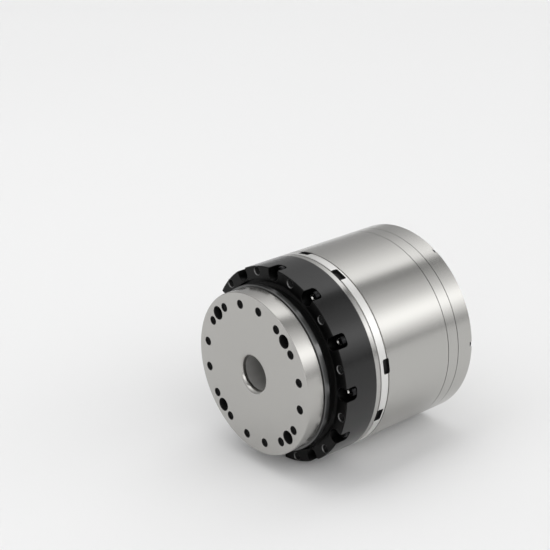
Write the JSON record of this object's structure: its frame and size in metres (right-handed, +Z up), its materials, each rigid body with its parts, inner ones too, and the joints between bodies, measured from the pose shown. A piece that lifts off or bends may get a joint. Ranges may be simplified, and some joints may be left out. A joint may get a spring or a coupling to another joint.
{
  "type": "robot joint actuator",
  "caption": "Round hollow-shaft robot joint actuator: satin output flange, black mounting ring with screw pockets, banded satin motor housing, strain wave gear, brake and encoders inside.",
  "frame": {"origin": "on the output axis, in the plane of the mounting ring's front face, which seats on the robot arm", "axes": "+Y from the output flange towards the motor, so the flange faces -Y; +Z up through a screw pocket"},
  "size_m": [0.09, 0.0909, 0.09],
  "materials": {
    "satin_metal": "turned and fine bead-blasted aluminium, satin clear anodised",
    "satin_flange": "face turned aluminium alloy with a fine satin bead blast",
    "black_anodised": "black anodised, semi-gloss",
    "bright_steel": "turned alloy steel, bright",
    "gear_steel": "ground alloy steel",
    "bearing_steel": "ground bearing steel",
    "screw_steel": "plain steel cap screws",
    "core_steel": "laminated electrical steel",
    "copper_wire": "enamelled copper wire",
    "magnet_nickel": "nickel plated magnet",
    "seal_rubber": "nitrile rubber, matt",
    "circuit_board": "green solder mask on glass fibre",
    "brass_pillar": "turned brass",
    "bushing_plastic": "low friction plastic",
    "socket_plastic": "moulded nylon",
    "tube_metal": "drawn aluminium tube, satin",
    "encoder_disc": "bonded magnet ring",
    "cage_brass": "pressed brass",
    "friction_lining": "moulded friction lining"
  },
  "bodies": {
    "housing": {"mounting_ring": "black_anodised", "ring_screws": "screw_steel", "flexible_gear": "bright_steel", "bearing_outer_ring": "bearing_steel", "bearing_clamp_ring": "bearing_steel", "output_seal": "seal_rubber", "motor_adapter": "satin_metal", "input_seal": "seal_rubber", "front_bearing_outer": "bearing_steel", "motor_housing": "satin_metal", "stator_core": "core_steel", "stator_coils": "copper_wire", "brake_plate": "bearing_steel", "brake_pillars": "screw_steel", "brake_coil_housing": "core_steel", "brake_coil": "copper_wire", "rear_bearing_outer": "bearing_steel", "rear_shield": "satin_metal", "driver_board": "circuit_board", "encoder_board": "circuit_board", "board_pillars": "brass_pillar", "rear_cap": "satin_metal", "cap_screws": "screw_steel", "tube_bushing": "bushing_plastic", "power_socket": "socket_plastic", "bus_sockets": "socket_plastic"},
    "output": {"output_flange": "satin_flange", "ring_gear": "gear_steel", "tie_screws": "screw_steel", "bearing_inner_ring": "bearing_steel", "output_tube": "tube_metal", "output_encoder_disc": "encoder_disc"},
    "roller_set": {"crossed_rollers": "bearing_steel", "roller_cage": "cage_brass"},
    "rotor": {"rotor_shaft": "gear_steel", "rotor_hub": "core_steel", "magnets": "magnet_nickel", "wave_plug": "gear_steel", "wave_inner_race": "bearing_steel", "wave_balls": "bearing_steel", "wave_outer_race": "bearing_steel", "front_bearing_inner": "bearing_steel", "front_bearing_balls": "bearing_steel", "rear_bearing_inner": "bearing_steel", "rear_bearing_balls": "bearing_steel", "brake_hub": "gear_steel", "brake_disc": "friction_lining", "input_encoder_disc": "encoder_disc"},
    "armature": {"brake_armature": "bearing_steel"}
  },
  "joints": [
    {"name": "output_turn", "type": "hinge", "parent": "housing", "child": "output", "pos_m": [0, 0, 0], "axis": [0, 1, 0], "continuous": true},
    {"name": "roller_turn", "type": "hinge", "parent": "housing", "child": "roller_set", "pos_m": [0, 0, 0], "axis": [0, 1, 0], "continuous": true},
    {"name": "rotor_spin", "type": "hinge", "parent": "housing", "child": "rotor", "pos_m": [0, 0, 0], "axis": [0, 1, 0], "continuous": true, "deforming": ["flexible_gear"]},
    {"name": "brake_release", "type": "slide", "parent": "housing", "child": "armature", "axis": [0, 1, 0], "range_m": [0, 0.0002], "stiffness_N_per_m": 400}
  ],
  "couplings": [
    {"joint": "rotor_spin", "follows": "output_turn", "ratio": 51},
    {"joint": "roller_turn", "follows": "output_turn", "ratio": 0.48}
  ]
}
